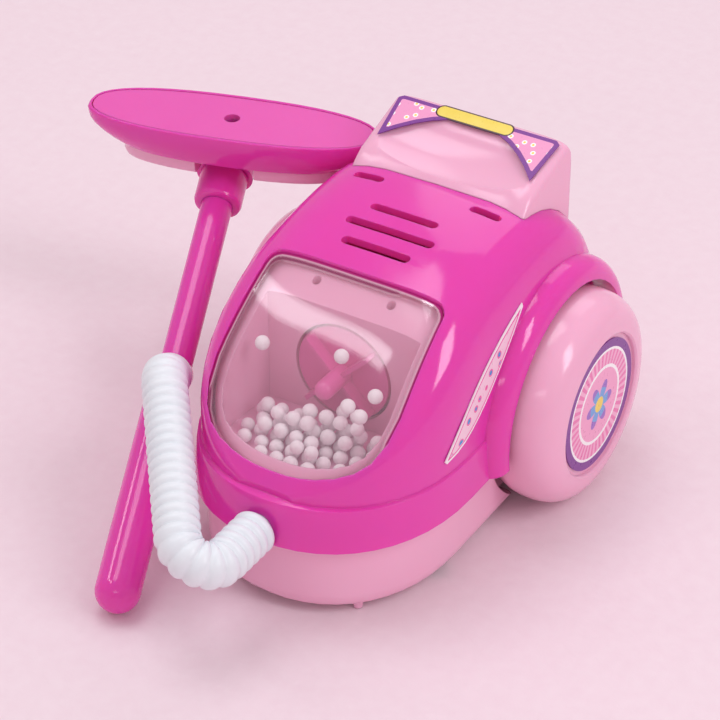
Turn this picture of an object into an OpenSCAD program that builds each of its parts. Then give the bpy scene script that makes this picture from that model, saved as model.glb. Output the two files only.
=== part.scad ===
// Toy vacuum cleaner: a round-nosed body on two big wheels, with a see-through bead chamber,
// a short ribbed hose, and a wand whose floor head rests on the left wheel arch.
// Millimetres. Origin on the floor under the middle of the axle, front towards -Y, up +Z.

/* [Body] */
// Half-width of the upper shell at the bead line
body_half_w = 34; // [33.5:0.5:36]
// Distance from the axle to the tip of the nose at the bead line
nose_reach = 81; // [80:0.5:84]
// Distance from the axle to the point where the nose starts to round
nose_start = 43; // [42:0.5:45]
// Distance from the axle to the back wall
tail_reach = 29; // [28:0.5:31]
// Height of the bead line, where the upper shell steps out to the skirt
bead_h = 34; // [33.5:0.5:35]
// Height of the skirt's lower edge, where the shells part
seam_h = 22; // [21:0.5:23]
// Height of the roof
roof_h = 78.3; // [77.5:0.1:79.5]
// Wall of the mouldings
wall = 2; // [1.6:0.1:2.2]
// How far the skirt stands out at the sides
skirt_side = 1.4; // [1:0.1:2]
// How far the skirt stands out at the nose
skirt_nose = 3.2; // [2.4:0.1:4]
// How far the base is set in from the skirt
base_inset = 3; // [2.4:0.1:3.6]
// Height of the base's flat underside above the floor
base_clear = 2; // [1.5:0.1:2.5]

/* [Window] */
// Half-width of the window opening
window_half_w = 26; // [25:0.5:27]
// Distance from the axle to the window's straight upper edge
window_top = 38; // [37:0.5:39]
// Distance from the axle to the window's round lower end
window_end = 78; // [76:0.5:79]
// Thickness of the clear window
window_t = 1.5; // [1.2:0.1:1.8]
// How far the window lies under the shell's surface
window_sink = 0.8; // [0.5:0.1:1.2]
// Gap round pieces that sit in an opening
seat_gap = 0.2; // [0.15:0.05:0.3]

/* [Bead chamber and fan] */
// Distance from the axle to the chamber's upright wall
chamber_wall = 45.4; // [44.8:0.2:46]
// Height of the chamber's floor
chamber_floor = 33; // [32.4:0.2:33.2]
// Radius of the round opening in the chamber wall
fan_hole_r = 13.6; // [13.4:0.1:14]
// Height of the fan's axis
fan_h = 47.6; // [47:0.1:48.6]
// Radius of the fan wheel
fan_r = 12.8; // [12:0.1:13]
// Number of fan vanes
fan_vanes = 4; // [3:1:6]
// Radius of the motor shaft
shaft_r = 1; // [0.8:0.1:1.2]
// Radius of a foam bead
bead_r = 2; // [1.8:0.05:2.1]

/* [Wheels] */
// Radius of the wheels
wheel_r = 28.2; // [27.8:0.1:28.6]
// Width of a wheel
wheel_w = 20.4; // [19.4:0.2:21.4]
// Distance from the body's middle to the inner side of a wheel
wheel_in = 28; // [27.6:0.1:29]
// Radius of the axle
axle_r = 1.5; // [1.2:0.1:1.8]
// Radius of the hub recess that holds the label
hub_r = 19; // [18:0.5:19.5]
// Radius of a wheel arch's inner edge
arch_r = 30.2; // [29.8:0.1:31]
// Distance from the body's middle to a wheel arch's outer edge
arch_x = 38.5; // [37.5:0.2:39.5]

/* [Handle block] */
// Half-width of the handle block
block_half_w = 25; // [24:0.5:25.5]
// Height of the block's upper back edge above the roof
block_rise = 8.5; // [7.7:0.1:9.7]
// Distance from the axle to the block's back face
block_back = 22.5; // [22:0.5:24]

/* [Batteries] */
// Radius of a cell
cell_r = 7.25; // [7:0.05:7.4]
// Length of a cell with its button
cell_l = 50.5; // [50:0.1:51]

/* [Hose] */
// Outer diameter over the ribs
hose_d = 11.5; // [10.5:0.5:12]
// Bore of the hose
hose_bore = 8; // [7:0.5:8.5]
// Spacing of the ribs
rib_pitch = 2.8; // [2.6:0.2:4]

/* [Wand and floor head] */
// Radius of the wand's tube
tube_r = 4.2; // [3.8:0.1:4.6]
// Radius of the wand's grip
grip_r = 5.7; // [5.4:0.1:5.9]
// Length of the grip from the middle of its round end to its shoulder
grip_len = 52; // [50:0.5:56]
// Length from the middle of the grip's round end to the collar
wand_len = 115; // [113:0.5:116]
// Radius of the swivel collar
collar_r = 6.4; // [6:0.1:7]
// Half-length of the floor head
head_half_l = 39.5; // [38:0.5:40]
// Half-width of the floor head
head_half_w = 12; // [11.4:0.2:12.4]
// Depth of the floor head's dish
dish_h = 9.5; // [9:0.1:10]

/* [Hidden] */
$fn = 48;
axle_h = wheel_r;
run_gap = 0.05;
thin = 0.3;
nose_power = 2.2;
roof_power = 5;
tail_start = -4;
tail_drop = 32;
window_round = 60;
window_power = 2.5;
slot_w = 2.6;
hot_pink = "#E83FA8";
pale_pink = "#F8BBD6";
milk_white = "#EEF1F4";
purple = "#8E3A9A";
steel = "#B9BDC2";
brass = "#C9A24A";

// Bezier point of four control points
function bezier(p, t) = pow(1 - t, 3) * p[0] + 3 * t * pow(1 - t, 2) * p[1]
    + 3 * t * t * (1 - t) * p[2] + pow(t, 3) * p[3];
// Superellipse leg: a cosine or sine bent by a power, with its sign kept
function leg(v, power) = sign(v) * pow(abs(v), 2 / power);
function oval(a, b, power, z, steps = 40) = [for (i = [0 : steps - 1])
    let (t = -360 * i / steps) [a * leg(cos(t), power), b * leg(sin(t), power), z]];
function unit(v) = v / norm(v);

// Closed skin through rings of equal point counts, with flat ends
function skin_faces(rings, n) = concat(
    [[for (i = [n - 1 : -1 : 0]) i]],
    [for (r = [0 : rings - 2]) for (i = [0 : n - 1])
        let (j = (i + 1) % n) each [
            [r * n + i, r * n + j, (r + 1) * n + j],
            [r * n + i, (r + 1) * n + j, (r + 1) * n + i]]],
    [[for (i = [0 : n - 1]) (rings - 1) * n + i]]);
module skin(rings) {
    polyhedron([for (r = rings) each r], skin_faces(len(rings), len(rings[0])));
}

// Slab between two grids of points, rows of equal length, the first grid on top
function cell(a, b, c, d) = [[a, b, c], [a, c, d]];
module slab(top, under) {
    m = len(top);
    n = len(top[0]);
    k = m * n;
    polyhedron([each [for (r = top) each r], each [for (r = under) each r]], concat(
        [for (i = [0 : m - 2]) for (j = [0 : n - 2]) let (a = i * n + j) each concat(
            cell(a, a + 1, a + n + 1, a + n), cell(k + a, k + a + n, k + a + n + 1, k + a + 1))],
        [for (j = [0 : n - 2]) let (b = (m - 1) * n + j) each concat(
            cell(j, k + j, k + j + 1, j + 1), cell(b, b + 1, k + b + 1, k + b))],
        [for (i = [0 : m - 2]) let (a = i * n, b = a + n - 1) each concat(
            cell(a, a + n, k + a + n, k + a), cell(b, k + b, k + b + n, b + n))]));
}

// Side profile of the upper shell: nose slope, roof, then the round back
roof_edge = roof_h - 5.3;
nose_curve = [[-nose_reach, bead_h], [-nose_reach + 1, bead_h + 4],
    [-62, 60], [-window_top, roof_edge]];
roof_curve = [[-window_top, roof_edge], [-27, roof_h - 1.8], [-18, roof_h], [tail_start, roof_h]];
profile = concat(
    [for (i = [1 : 11]) bezier(nose_curve, i / 11)],
    [for (i = [1 : 5]) bezier(roof_curve, i / 5)],
    [for (a = [10 : 10 : 90]) [tail_start + (tail_reach - tail_start) * sin(a),
        roof_h - tail_drop + tail_drop * cos(a)]]);
function roof_at(y) = lookup(y, profile);
// Plan of the upper shell at the bead line: half-width at a distance along the body
function plan_at(y, w, reach) = y > -nose_start
    ? w - 4 * pow(max(0, y - tail_reach + 16) / 16, 2)
    : w * pow(max(0, 1 - pow((-nose_start - y) / (reach - nose_start), nose_power)), 1 / nose_power);
function shell_z(x, y, drop) = let (w = plan_at(y, body_half_w, nose_reach))
    bead_h + (roof_at(y) - bead_h)
        * pow(max(0, 1 - pow(min(1, abs(x) / w), roof_power)), 1 / roof_power) - drop;

// Solid dome of the upper shell, set in by t, standing on straight sides down to foot
arch_steps = 24;
function dome_ring(p, t, foot) = let (w = max(0.6, plan_at(p[0], body_half_w - t, nose_reach - t)))
    concat([[w, p[0], foot]],
        [for (i = [0 : arch_steps]) let (a = 180 * i / arch_steps)
            [w * leg(cos(a), roof_power), p[0],
                bead_h + max(0.3, p[1] - t - bead_h) * leg(sin(a), roof_power)]],
        [[-w, p[0], foot]]);
module dome(t, foot) {
    skin([for (p = profile) if (p[0] > -nose_reach + t + 0.1 && p[0] < tail_reach - t - 0.1)
        dome_ring(p, t, foot), dome_ring([tail_reach - t, roof_h - tail_drop], t, foot)]);
}

// Plan outline of the lower body: round nose, straight sides, softly squared back
plan_steps = 48;
function plan_ring(w, reach, back, z) = [for (i = [0 : plan_steps - 1])
    let (a = -360 * i / plan_steps, c = cos(a), s = sin(a))
    s < 0
        ? [w * leg(c, nose_power), -nose_start + (reach - nose_start) * leg(s, nose_power), z]
        : [w * leg(c, 6), -nose_start + (back + nose_start) * leg(s, 8), z]];
module skirt() {
    span = bead_h - seam_h;
    skin([for (k = [[0, 1], [0.5, 0.8], [0.85, 0.55], [0.95, 0.4], [1.02, -0.7]])
        plan_ring(body_half_w + skirt_side * k[1], nose_reach + skirt_nose * k[1],
            tail_reach + skirt_side * k[1], seam_h + span * k[0])]);
}

// Round bar along X from x0 to x1 at the axle's height, on both sides
module axle_bars(r, x0, x1) {
    for (s = [0, 1]) mirror([s, 0, 0]) translate([x0, 0, axle_h])
        rotate([0, 90, 0]) cylinder(r = r, h = x1 - x0);
}
module both_sides() {
    children();
    mirror([1, 0, 0]) children();
}
module slot_cut(x, y, half_l) {
    hull() for (e = [-1, 1]) translate([x + e * (half_l - slot_w / 2), y, roof_h - 14])
        cylinder(r = slot_w / 2, h = 24, $fn = 24);
}
// Window outline: half-width at a distance along the body, with round upper corners
corner_r = 3;
corner_in = 1;
function window_half(y, inset) = let (top = window_top + inset, w = window_half_w - inset, c = -top - corner_r)
    y > c ? w - corner_in - corner_r + sqrt(max(0, pow(corner_r, 2) - pow(y - c, 2)))
    : y > -window_round ? w - corner_in * (1 - (c - y) / (c + window_round))
    : w * pow(max(0, 1 - pow((-window_round - y) / (window_end - inset - window_round), window_power)),
        1 / window_power);
function window_ys(inset) = let (run = window_end - window_top - 2 * inset)
    [for (k = [0, 0.06, 0.3, 0.65, 1]) -window_top - inset - k * corner_r,
        for (k = [0.16, 0.26, 0.38, 0.5]) -window_top - inset - k * run,
        for (a = [5, 20, 35, 48, 60, 70, 78, 84, 90]) -window_round - (window_end - inset - window_round) * sin(a)];
function window_ring(inset) = let (ys = window_ys(inset), n = len(ys) - 1)
    concat([for (y = ys) [window_half(y, inset), y]],
        [for (i = [n - 1 : -1 : 0]) [-window_half(ys[i], inset), ys[i]]]);

// Wheel arch: a quarter-round flare swept over the wheel
well_x = wheel_in - 1.4;
arch_t = 5.2;
crease_x = 33.4;
module wheel_arch() {
    flare = [for (a = [0 : 15 : 90]) [arch_r + arch_t * sin(a), crease_x + (arch_x - crease_x) * cos(a)]];
    translate([0, 0, axle_h]) rotate([0, 90, 0]) rotate([0, 0, 80]) rotate_extrude(angle = 200, $fn = 72)
        polygon(concat([[arch_r - 1, crease_x - 3], [arch_r - 1, arch_x]], flare, [[arch_r + arch_t, crease_x - 3]]));
}

// Screw posts, the hose hole and the route of the hose
posts = [[28.4, -48], [20, 21]];
post_r = 3.4;
screw_seat = 12;
hose_r = hose_d / 2;
hose_sides = 8;
spigot_r = hose_bore / 2 * cos(180 / hose_sides) - 0.1;
hose_start = [0, -nose_reach - skirt_nose - 0.4, 25.5];
module hose_hole(gap) {
    translate([0, -nose_reach + 12, hose_start[2]]) rotate([90, 0, 0])
        cylinder(r = spigot_r + gap, h = 30);
}

// Pegs that hold the handle block on the roof
peg_x = [-18, -7, 7, 18];
peg_y = 15;
peg_r = 1.2;

module top_shell() {
    color(hot_pink) difference() {
        union() {
            difference() {
                union() {
                    dome(0, bead_h - 2);
                    skirt();
                }
                difference() {
                    dome(wall, seam_h - 1);
                    axle_bars(arch_r + wall, well_x - wall, 60);
                    both_sides() for (p = posts) translate([p[0], p[1], seam_h - 2]) cylinder(r = post_r,
                        h = p[1] < 0 ? chamber_floor - wall - 0.5 - seam_h + 2 : 60, $fn = 24);
                }
            }
            both_sides() wheel_arch();
        }
        axle_bars(arch_r, well_x, 60);
        translate([-60, -100, seam_h - 40]) cube([120, 150, 40]);
        translate([0, 0, bead_h + 1]) linear_extrude(60) polygon(window_ring(0));
        slot_cut(0, -30.4, 9.6);
        slot_cut(0, -23.8, 12.4);
        slot_cut(0, -17, 9.5);
        both_sides() slot_cut(16.7, -6.2, 4.3);
        hose_hole(seat_gap);
        axle_bars(axle_r + 1.5, 10, 60);
        both_sides() for (p = posts) translate([p[0], p[1], seam_h - 1])
            cylinder(r = 1.2, h = 8.6, $fn = 24);
        for (x = peg_x) hull() for (e = [-1, 1]) translate([x, peg_y + e, roof_h - 16])
            cylinder(r = peg_r + seat_gap, h = 20, $fn = 24);
    }
}

module window() {
    function row(y, drop) = let (w = max(0.4, window_half(y, seat_gap)))
        [for (k = [-6 : 6]) [w * k / 6, y, shell_z(w * k / 6, y, drop)]];
    color([0.97, 0.85, 0.92, 0.4]) slab([for (y = window_ys(seat_gap)) row(y, window_sink)],
        [for (y = window_ys(seat_gap)) row(y, window_sink + window_t)]);
}

// Pale tub under the window: U-shaped wall, floor, upright wall with the fan opening, top ledge
chamber_t = 1.2;
rim_w = 3.4;
module dust_chamber() {
    color(pale_pink) difference() {
        intersection() {
            translate([0, 0, chamber_floor - wall]) linear_extrude(roof_h) polygon(window_ring(-chamber_t));
            dome(window_sink + window_t + wall / 2, seam_h);
        }
        intersection() {
            translate([0, 0, chamber_floor]) linear_extrude(roof_h) polygon(window_ring(rim_w));
            translate([-50, -100, 0]) cube([100, 100 - chamber_wall, 100]);
        }
        translate([-50, -chamber_wall + wall, 0]) cube([100, 20, roof_edge - 9]);
        translate([0, -chamber_wall - 1, fan_h]) rotate([-90, 0, 0]) cylinder(r = fan_hole_r, h = 6);
        for (s = [-1, 1]) translate([s * 10.5, -40.4, 60]) cylinder(r = 1.1, h = 20, $fn = 24);
    }
}

// Foam beads: a loose heap ahead of the fan, each a little out of line, with a few that cling under the window
bead_gap = 2 * bead_r + 0.5;
bead_clear = 7.8;
function stray(n) = 0.22 * sin(n * 137.5);
function bead_size(n) = bead_r * (0.92 + 0.05 * sin(n * 71.3));
pile = [for (layer = [0 : 2]) for (row = [0 : 4]) for (col = [-4 : 4])
    let (n = col + 9 * row + 47 * layer,
        x = (col + 0.5 * ((row + layer) % 2)) * bead_gap + stray(n),
        y = -chamber_wall - bead_clear - (row + layer % 2 / 2) * bead_gap * 0.88 + stray(3 * n + 1),
        z = chamber_floor + bead_r + 0.2 + layer * bead_gap * 0.8 + (layer == 0 ? 0 : stray(5 * n + 2)))
    if (pow(abs(x) / (19.5 - 3 * layer), 2.4) + pow(max(0, -56 - y) / (16 - layer * 4), 2.4) < 1
        && y > -window_end + 7 + layer * 4 && sin(n * 53) > [-2, -0.75, -0.1][layer]) [x, y, z, n]];
clinging = [[-17, -55], [4, -52.5], [11, -61], [15, -62], [16.5, -57.5]];
module foam_beads() {
    color("white") {
        for (p = pile) translate([p[0], p[1], p[2] - bead_r + bead_size(p[3])]) sphere(r = bead_size(p[3]));
        for (q = clinging) translate([q[0], q[1],
            shell_z(q[0], q[1], window_sink + window_t) - bead_r * 1.45 - 0.3]) sphere(r = bead_r * 0.92);
    }
}

module along_fan(y) {
    translate([0, y, fan_h]) rotate([-90, 0, 0]) children();
}
hub_r_fan = 2.5;
hub_reach = 8.4;
vane_t = 1.1;
module fan_wheel() {
    color(hot_pink) difference() {
        union() {
            along_fan(-chamber_wall) cylinder(r = fan_r, h = 1.5);
            along_fan(-chamber_wall - hub_reach) cylinder(r = hub_r_fan, h = hub_reach + 2.6);
            along_fan(-chamber_wall - hub_reach) sphere(r = hub_r_fan);
            for (v = [0 : fan_vanes - 1]) along_fan(-chamber_wall - 3.5) rotate([0, 0, 45 + 360 / fan_vanes * v])
                translate([0, -vane_t / 2, 0]) cube([fan_r - 0.4, vane_t, 4]);
        }
        along_fan(-chamber_wall - 3) cylinder(r = shaft_r + 0.01, h = 20);
    }
}
motor_y = -chamber_wall + 4.2;
motor_l = 25;
module motor_shaft() {
    color(steel) along_fan(-chamber_wall - 2.9) cylinder(r = shaft_r, h = 22);
}
module motor() {
    color(steel) difference() {
        union() {
            along_fan(motor_y) intersection() {
                cylinder(r = 10, h = motor_l);
                translate([-10, -7.6, 0]) cube([20, 15.2, motor_l]);
            }
            along_fan(motor_y - 1.2) cylinder(r = 3, h = 3);
        }
        along_fan(motor_y - 2) cylinder(r = shaft_r + run_gap, h = 21);
    }
}
motor_top = fan_h + 7.6;
motor_low = fan_h - 7.6;
// Cradle that carries the motor on two legs from the base
module motor_bracket() {
    color(pale_pink) difference() {
        union() {
            translate([-12.5, motor_y + 3, motor_low - 4]) cube([25, motor_l - 6, 9]);
            for (x = [-24, 21.5]) translate([x, motor_y + 5, base_clear + wall + 0.02])
                cube([2.5, 8, motor_low - base_clear - wall - 1]);
            translate([-24, motor_y + 5, motor_low - 4]) cube([48, 8, 3]);
        }
        translate([-10.1, motor_y, motor_low - 0.02]) cube([20.2, motor_l, 20]);
    }
}

// Lower tub: light pink, rounded under edge, open at the top
base_w = body_half_w + skirt_side - base_inset;
base_reach = nose_reach + skirt_nose - base_inset;
base_back = tail_reach - 1;
pip_at = [19.4, -70];
pip_r = 1.6;
door_y = [-66.5, -5.5];
door_half_w = 17;
switch_y = 12;
module tub(t, z0, top) {
    skin(concat([for (k = [[0, 4.2], [0.35, 2.4], [1.1, 1.1], [2.4, 0.35], [4.5, 0]])
        plan_ring(base_w - k[1] - t, base_reach - k[1] - t, base_back - k[1] - t, z0 + k[0])],
        [plan_ring(base_w - t, base_reach - t, base_back - t, top)]));
}
module base_shell() {
    color(pale_pink) difference() {
        union() {
            difference() {
                tub(0, base_clear, seam_h - thin);
                difference() {
                    tub(wall, base_clear + wall, seam_h + 1);
                    axle_bars(arch_r + wall, well_x - wall, 60);
                    both_sides() for (p = posts) translate([p[0], p[1], 0]) cylinder(r = post_r, h = seam_h, $fn = 24);
                }
                axle_bars(wheel_r + 0.8, well_x, 60);
            }
            translate([-5, door_y[1] - 6, base_clear + wall + 0.1]) cube([10, 9, 5]);
            translate([-5, door_y[1] + 0.3, base_clear + 1]) cube([10, 2.7, wall + 2]);
            both_sides() translate([pip_at[0], pip_at[1], 0])
                cylinder(r1 = pip_r * 0.7, r2 = pip_r, h = base_clear + 1, $fn = 24);
        }
        translate([-door_half_w, door_y[0], base_clear - 1])
            cube([2 * door_half_w, door_y[1] - door_y[0], wall + 1.05]);
        translate([-4, switch_y - 6, base_clear - 1]) cube([8, 12, wall + 2]);
        translate([0, door_y[1] - 3, base_clear + wall]) cylinder(r = 1.1, h = 9, $fn = 24);
        both_sides() for (p = posts) translate([p[0], p[1], 0]) {
            cylinder(r = 1.6, h = seam_h, $fn = 24);
            cylinder(r = 2.9, h = screw_seat, $fn = 24);
        }
        for (s = [-1, 1]) for (e = [-1, 1]) hull() for (k = [0, 2])
            translate([s * (door_half_w - 6), door_y[0] - 0.6 + (e + 1) / 2 * (door_y[1] - door_y[0] + 1.2), base_clear + 1])
                translate([k, 0, 0]) cylinder(r = 0.9, h = wall, $fn = 16);
    }
}

module body_screws() {
    color(steel) both_sides() for (p = posts) translate([p[0], p[1], screw_seat - 2.02]) {
        cylinder(r = 2.6, h = 2);
        cylinder(r = 1.1, h = 18);
    }
}

module battery_door() {
    gap = seat_gap;
    color(pale_pink) difference() {
        union() {
            translate([-door_half_w + gap, door_y[0] + gap, base_clear])
                cube([2 * (door_half_w - gap), door_y[1] - door_y[0] - 2 * gap, wall]);
            for (x = [-cell_r - 0.6 - 7.5, -0.6, cell_r + 0.6 + 6.3]) translate([x, cell_mid - cell_l / 2 + 2, base_clear + wall])
                cube([1.2, cell_l - 4, 3]);
        }
        translate([0, door_y[1] - 3, base_clear - 1]) {
            cylinder(r = 1.4, h = 9, $fn = 24);
            cylinder(r = 2.3, h = 2, $fn = 24);
        }
        translate([-6, door_y[1] - 7.6, base_clear + wall - 0.02]) cube([12, 10, 4]);
    }
}
module door_screw() {
    color(steel) translate([0, door_y[1] - 3, base_clear + 0.1]) {
        cylinder(r = 2.1, h = 0.85);
        cylinder(r = 1, h = 6);
    }
}
cell_x = cell_r + 0.6;
cell_z = base_clear + wall + 0.2 + cell_r;
cell_mid = door_y[0] + cell_l / 2 + 2.7;
module battery_cells() {
    for (s = [-1, 1]) translate([s * cell_x, cell_mid, cell_z]) rotate([s * 90, 0, 0]) {
        color(purple) translate([0, 0, -cell_l / 2]) cylinder(r = cell_r, h = cell_l - 1.5);
        color(steel) translate([0, 0, cell_l / 2 - 1.5]) cylinder(r = 2.6, h = 1.5);
    }
}
// Sprung end plates that press on the cells
module battery_contacts() {
    color(steel) for (e = [-1, 1]) translate([0, cell_mid + e * (cell_l / 2 + 1.2), 0]) {
        translate([-15, -0.4, base_clear + wall + 0.05]) cube([30, 0.8, 2 * cell_r]);
        for (s = [-1, 1]) translate([s * cell_x, 0, cell_z]) rotate([e * 90, 0, 0])
            cylinder(r1 = 3.6, r2 = 2, h = 1.1);
    }
}

module switch_body() {
    color("dimgray") translate([-6, switch_y - 8, base_clear + wall + 0.02]) difference() {
        cube([12, 16, 8]);
        translate([2.5, 2.5, -1]) cube([7, 11, 5]);
    }
}
knob_travel = 4;
module switch_knob() {
    color("black") translate([-2, switch_y - 2 - knob_travel / 2, base_clear - 0.9]) {
        cube([4, 4, 3.6]);
        translate([-1, -0.8, 3.3]) cube([6, 5.6, 1.6]);
    }
}

module axle() {
    color(steel) translate([-wheel_in - 12, 0, axle_h]) rotate([0, 90, 0])
        cylinder(r = axle_r, h = 2 * (wheel_in + 12));
}
module axle_bearings() {
    color(pale_pink) difference() {
        both_sides() {
            translate([19, -5, base_clear + wall + 0.02]) cube([5, 10, axle_h - base_clear - wall]);
            translate([19, 0, axle_h]) rotate([0, 90, 0]) cylinder(r = 5, h = 5);
        }
        axle_bars(axle_r + run_gap, 10, 40);
    }
}
// Fat round tyre-like wheel, moulded in one, with a shallow hub recess for the label
tyre = wheel_r - hub_r - 0.5;
tyre_power = 2.3;
recess = 0.9;
module wheel() {
    mid = wheel_in + wheel_w / 2;
    round_side = [for (a = [-90 : 9 : 90]) [hub_r + 0.5 + tyre * leg(cos(a), tyre_power),
        mid + wheel_w / 2 * leg(sin(a), tyre_power)]];
    translate([0, 0, axle_h]) rotate([0, 90, 0]) rotate_extrude($fn = 96)
        polygon(concat([[axle_r + 0.01, wheel_in], [7, wheel_in], [8, wheel_in + 4], [hub_r - 2, wheel_in + 4]],
            round_side, [[hub_r, mid + wheel_w / 2 - 0.5], [hub_r, wheel_in + wheel_w - recess - 0.4],
            [0, wheel_in + wheel_w - recess - 0.4], [0, wheel_in + 12.1], [axle_r + 0.01, wheel_in + 12.1]]));
}
module wheel_left() {
    color(pale_pink) mirror([1, 0, 0]) wheel();
}
module wheel_right() {
    color(pale_pink) wheel();
}
module wheel_label() {
    translate([wheel_in + wheel_w - recess - 0.35, 0, axle_h]) rotate([0, 90, 0])
        cylinder(r = hub_r - 1.3, h = 0.4);
}
module wheel_label_left() {
    color(purple) mirror([1, 0, 0]) wheel_label();
}
module wheel_label_right() {
    color(purple) wheel_label();
}

// Pale block at the back of the roof: sloped top for a label and a finger scoop in front
block_h = roof_h + block_rise;
block_top = [6, block_h - 4.8];
block_slope = (block_h - block_top[1]) / (block_back - 2 - block_top[0]);
block_side = [[-1.6, block_h - 9.4], [0.6, block_h - 7.4], [3, block_h - 5.8], block_top, [block_back - 2, block_h],
    [block_back - 0.9, block_h - 0.3], [block_back - 0.2, block_h - 1.1], [block_back, block_h - 2.2]];
module block_body() {
    skin([for (p = block_side) let (w = block_half_w, foot = roof_h - 30)
        concat([[w, p[0], foot]],
            [for (i = [0 : 16]) let (a = 180 * i / 16)
                [w * leg(cos(a), 9), p[0], p[1] - 4 + 4 * leg(sin(a), 4)]],
            [[-w, p[0], foot]])]);
}
scoop_at = [0, 3, block_h + 8.4];
scoop_size = [43, 18.6, 16];
module rear_handle() {
    color(pale_pink) difference() {
        block_body();
        dome(-0.03, seam_h);
        translate(scoop_at) scale(scoop_size) sphere(r = 1, $fn = 64);
        translate([0, block_back, block_h - 3]) rotate([10, 0, 0]) translate([-50, 0, -50]) cube([100, 20, 50]);
    }
    color(pale_pink) for (x = peg_x) translate([x, peg_y, roof_at(peg_y) - 6]) cylinder(r = peg_r, h = 6.5, $fn = 24);
}
module handle_label() {
    tilt = atan(block_slope);
    run = (block_back - 2 - block_top[0]) / cos(tilt);
    arch = [for (k = [-6 : 6]) [21.9 * k / 6, 0.5 + 12.4 * (1 - pow(k / 6, 2))]];
    color(purple) translate([0, block_top[0], block_top[1] + 0.04]) rotate([tilt, 0, 0])
        linear_extrude(thin) polygon(concat(arch, [[23.2, run - 1.4], [22, run - 0.4],
            [-22, run - 0.4], [-23.2, run - 1.4]]));
}

// Flame-shaped label on the side, ahead of the wheel arch: lower tip, upper tip and two flanks
flame_upper = [[-54, 37.4], [-46, 49], [-36, 58], [-15, 64]];
flame_lower = [[-54, 37.4], [-38, 40], [-34, 47.5], [-15, 64]];
function side_x(p) = let (u = (p[1] - bead_h) / (roof_at(p[0]) - bead_h))
    plan_at(p[0], body_half_w, nose_reach) * pow(1 - pow(max(0, u), roof_power), 1 / roof_power);
module side_label() {
    rows = 10;
    cols = 3;
    lift = 0.1;
    function grid(out) = [for (i = [0 : rows]) let (t = 0.03 + 0.94 * i / rows,
        a = bezier(flame_upper, t), b = bezier(flame_lower, t))
        [for (k = [0 : cols]) let (p = a + (b - a) * k / cols) [side_x(p) + out, p[0], p[1]]]];
    slab(grid(lift), grid(lift + thin));
}
module side_label_right() {
    color("white") side_label();
}
module side_label_left() {
    color("white") mirror([1, 0, 0]) side_label();
}

// Nipple that the hose is pushed over, held by a flange behind the nose
nose_in = -wall - skirt_nose - 0.4 - 1 - 2;
module hose_spigot() {
    color(milk_white) translate(hose_start) rotate([90, 0, 0]) difference() {
        union() {
            translate([0, 0, nose_in]) cylinder(r = spigot_r, h = 8 - nose_in);
            translate([0, 0, nose_in]) cylinder(r = spigot_r + 1.6, h = 2);
        }
        translate([0, 0, nose_in - 1]) cylinder(r = spigot_r - 1, h = 30);
    }
}

// Wand: stands on the end of its grip and leans back beside the body
wand_foot = [-29.5, -101.6, grip_r + 0.2];
wand_rise = 23.4;
wand_heading = 110.2;
module in_wand() {
    translate(wand_foot) rotate([0, 90 - wand_rise, wand_heading]) children();
}
port_z = 62;
port_lean = 31.5;
port_turn = 10;
port_l = 10.5;
module at_port() {
    translate([0, 0, port_z]) rotate([0, 0, port_turn]) rotate([0, -90 - port_lean, 0]) children();
}
module wand_grip() {
    color(hot_pink) in_wand() difference() {
        union() {
            rotate_extrude() polygon(concat([for (a = [-90 : 10 : 0]) [grip_r * cos(a), grip_r * sin(a)]],
                [for (t = [0 : 0.2 : 1]) [grip_r + (tube_r + 0.5 - grip_r) * (3 * t * t - 2 * t * t * t),
                    grip_len + 7 * t]], [[0, grip_len + 7]]));
            at_port() cylinder(r = spigot_r + 1.5, h = port_l - thin);
        }
        translate([0, 0, grip_len - 20]) cylinder(r = tube_r + 0.01, h = 60);
        at_port() cylinder(r = spigot_r + 0.01, h = 20);
    }
}
module wand_tube() {
    color(hot_pink) in_wand() difference() {
        translate([0, 0, grip_len - 20]) cylinder(r = tube_r, h = wand_len + 4 - grip_len + 20);
        translate([0, 0, grip_len - 18.8]) cylinder(r = tube_r - 1.2, h = wand_len);
        at_port() cylinder(r = spigot_r + 0.01, h = 20);
    }
}
module hose_port() {
    color(milk_white) in_wand() at_port() difference() {
        translate([0, 0, tube_r]) cylinder(r = spigot_r, h = port_l + 7 - tube_r);
        cylinder(r = spigot_r - 1, h = 40);
    }
}
collar_l = 9.6;
pivot_r = 3.6;
pivot_l = 7;
module wand_collar() {
    color(hot_pink) in_wand() translate([0, 0, wand_len]) difference() {
        rotate_extrude() polygon([[0, 0], [collar_r - 1.2, 0], [collar_r - 0.35, 0.35], [collar_r, 1.2],
            [collar_r, collar_l], [pivot_r, collar_l], [pivot_r, collar_l + pivot_l], [0, collar_l + pivot_l]]);
        translate([0, 0, -1]) cylinder(r = tube_r + 0.01, h = 5.02);
    }
}

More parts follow.
